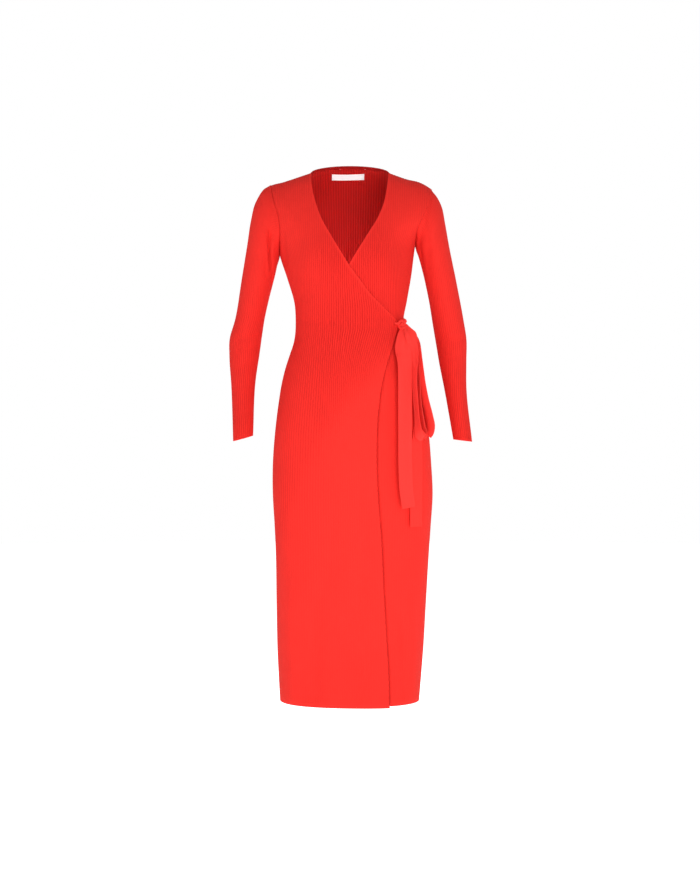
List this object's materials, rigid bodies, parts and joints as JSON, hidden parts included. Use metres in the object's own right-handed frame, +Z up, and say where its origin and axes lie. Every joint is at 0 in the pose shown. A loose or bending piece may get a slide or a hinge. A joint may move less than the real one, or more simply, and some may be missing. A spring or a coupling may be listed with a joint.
{
  "type": "wrap dress",
  "caption": "Fitted midi wrap dress in fine rib knit, with a deep V-neck, long set-in sleeves and a bow tie at the waist.",
  "frame": {"origin": "midway between the neck ends of the two shoulder seams, where the wearer's shoulders carry the dress", "axes": "+X to the wearer's left, -Y to the front, +Z up to the nape"},
  "size_m": [0.5195, 0.2382, 1.1586],
  "materials": {
    "rib_knit": "matt fine rib knit, bright red",
    "label": "white woven tape, blank"
  },
  "bodies": {
    "root": {"back": "rib_knit", "front_over": "rib_knit", "front_under": "rib_knit", "sleeve_right": "rib_knit", "sleeve_left": "rib_knit", "neck_band": "rib_knit", "tie_side": "rib_knit", "knot": "rib_knit", "loop_front": "rib_knit", "loop_back": "rib_knit", "tail_front": "rib_knit", "tail_back": "rib_knit", "label": "label"}
  },
  "joints": []
}
